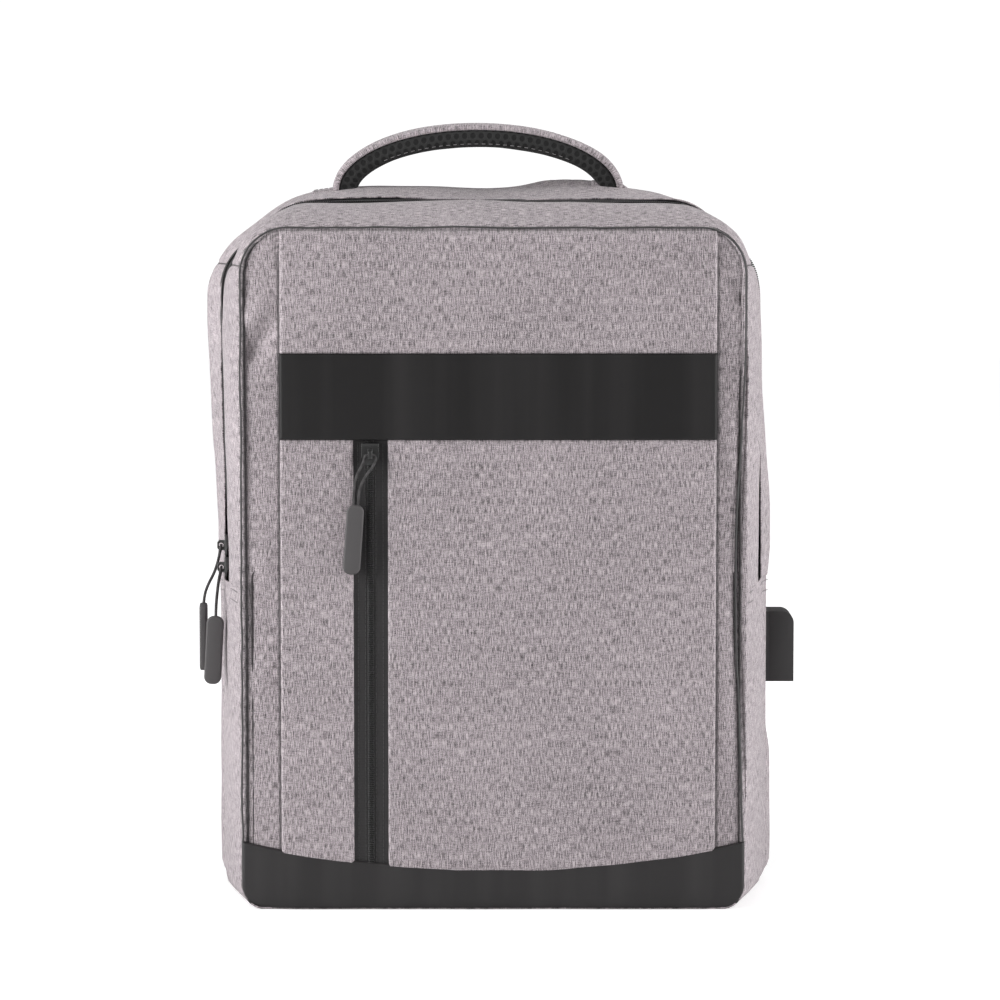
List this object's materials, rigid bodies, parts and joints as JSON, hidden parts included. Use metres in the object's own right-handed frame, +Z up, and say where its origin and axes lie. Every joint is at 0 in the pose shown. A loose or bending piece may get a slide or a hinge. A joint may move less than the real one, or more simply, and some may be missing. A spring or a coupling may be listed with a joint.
{
  "type": "laptop backpack",
  "caption": "Upright two-tone cloth backpack with a black front band, front and over-the-top zips, a padded grab handle, shoulder straps and a hooded charging socket.",
  "frame": {"origin": "middle of the flat base, on the ground", "axes": "+Z up, front panel faces -Y, wearer's back at +Y, charging socket on +X"},
  "size_m": [0.352, 0.1828, 0.4536],
  "materials": {
    "heather_cloth": "two-tone woven polyester, light slub threads over dark",
    "smooth_panel": "smooth black coated cloth, satin",
    "air_mesh": "black spacer mesh with round holes",
    "dark_lining": "plain black lining cloth",
    "padding": "foam wrapped in black cloth",
    "stiff_board": "plain board",
    "zip_tape": "tight black woven tape",
    "zip_coil": "black nylon coil",
    "slider_metal": "black enamel on cast zinc",
    "pull_cord": "fine braided cord",
    "pull_rubber": "soft matt rubber",
    "webbing": "black woven webbing",
    "buckle_plastic": "black moulded plastic",
    "port_rubber": "fine matt dark grey moulding",
    "socket_steel": "thin nickel plated steel",
    "tongue_plastic": "black insert",
    "contact_brass": "plated contact strips"
  },
  "bodies": {
    "bag": {"accent_band": "smooth_panel", "back_pad_left": "air_mesh", "back_pad_right": "air_mesh", "back_panel": "air_mesh", "base_board": "stiff_board", "base_panel": "heather_cloth", "front_gusset_left": "heather_cloth", "front_gusset_right": "heather_cloth", "front_gusset_top": "heather_cloth", "front_panel": "heather_cloth", "front_pocket_lining": "dark_lining", "front_zip_coil": "zip_coil", "front_zip_tape_left": "zip_tape", "front_zip_tape_right": "zip_tape", "handle_tabs": "webbing", "kick_panel": "smooth_panel", "laptop_divider": "padding", "left_corner_tab": "webbing", "left_overlay": "heather_cloth", "lumbar_pad": "air_mesh", "main_zip_coil": "zip_coil", "main_zip_tape_front": "zip_tape", "main_zip_tape_rear": "zip_tape", "organiser_panel": "dark_lining", "port_base": "port_rubber", "port_contacts": "contact_brass", "port_hood": "port_rubber", "port_socket": "socket_steel", "port_tongue": "tongue_plastic", "rear_gusset_left": "heather_cloth", "rear_gusset_right": "heather_cloth", "rear_gusset_top": "heather_cloth", "right_corner_tab": "webbing", "right_overlay": "heather_cloth", "side_panel_left": "heather_cloth", "side_panel_right": "heather_cloth", "side_pocket_left": "heather_cloth", "side_pocket_right": "heather_cloth", "strap_yoke": "webbing", "upper_overlay": "heather_cloth"},
    "front_slider": {"front_slider": "slider_metal"},
    "front_pull": {"front_pull_cord": "pull_cord", "front_pull": "pull_rubber"},
    "lower_slider": {"lower_slider": "slider_metal"},
    "lower_pull": {"lower_pull_cord": "pull_cord", "lower_pull": "pull_rubber"},
    "upper_slider": {"upper_slider": "slider_metal"},
    "upper_pull": {"upper_pull_cord": "pull_cord", "upper_pull": "pull_rubber"},
    "handle": {"handle_cover": "heather_cloth", "handle_mesh_pad": "air_mesh"},
    "left_strap": {"left_strap_cover": "heather_cloth", "left_strap_lining": "air_mesh", "left_lower_webbing": "webbing"},
    "left_buckle": {"left_ladder_lock": "buckle_plastic"},
    "right_strap": {"right_strap_cover": "heather_cloth", "right_strap_lining": "air_mesh", "right_lower_webbing": "webbing"},
    "right_buckle": {"right_ladder_lock": "buckle_plastic"}
  },
  "joints": [
    {"name": "front_slider_slide", "type": "slide", "parent": "bag", "child": "front_slider", "axis": [0, 0, -1], "range_m": [0, 0.222]},
    {"name": "front_pull_lift", "type": "hinge", "parent": "front_slider", "child": "front_pull", "pos_m": [-0.0702, -0.068, 0.2645], "axis": [-1, 0, 0], "range_deg": [0, 80]},
    {"name": "lower_slider_slide", "type": "slide", "parent": "bag", "child": "lower_slider", "axis": [0, 0, 1], "range_m": [0, 0.07]},
    {"name": "lower_pull_lift", "type": "hinge", "parent": "lower_slider", "child": "lower_pull", "pos_m": [-0.1596, -0.008, 0.1938], "axis": [0, 1, 0], "range_deg": [0, 70]},
    {"name": "upper_slider_slide", "type": "slide", "parent": "lower_slider", "child": "upper_slider", "axis": [0, 0, 1], "range_m": [0, 0.07]},
    {"name": "upper_pull_lift", "type": "hinge", "parent": "upper_slider", "child": "upper_pull", "pos_m": [-0.1596, -0.008, 0.2068], "axis": [0, 1, 0], "range_deg": [0, 70]},
    {"name": "handle_swing", "type": "hinge", "parent": "bag", "child": "handle", "pos_m": [-0.009, 0.034, 0.4236], "axis": [1, 0, 0], "range_deg": [-55, 55], "stiffness_Nm_per_rad": 0.3},
    {"name": "left_strap_swing", "type": "hinge", "parent": "bag", "child": "left_strap", "pos_m": [-0.05, 0.0765, 0.392], "axis": [-0.2079, 0, -0.9781], "range_deg": [-15, 15], "stiffness_Nm_per_rad": 0.3},
    {"name": "left_buckle_tilt", "type": "hinge", "parent": "left_strap", "child": "left_buckle", "pos_m": [-0.10364, 0.10277, 0.13964], "axis": [0.9781, 0, -0.2079], "range_deg": [0, 30]},
    {"name": "right_strap_swing", "type": "hinge", "parent": "bag", "child": "right_strap", "pos_m": [0.05, 0.0765, 0.392], "axis": [0.2079, 0, -0.9781], "range_deg": [-15, 15], "stiffness_Nm_per_rad": 0.3},
    {"name": "right_buckle_tilt", "type": "hinge", "parent": "right_strap", "child": "right_buckle", "pos_m": [0.10364, 0.10277, 0.13964], "axis": [0.9781, 0, 0.2079], "range_deg": [0, 30]}
  ]
}
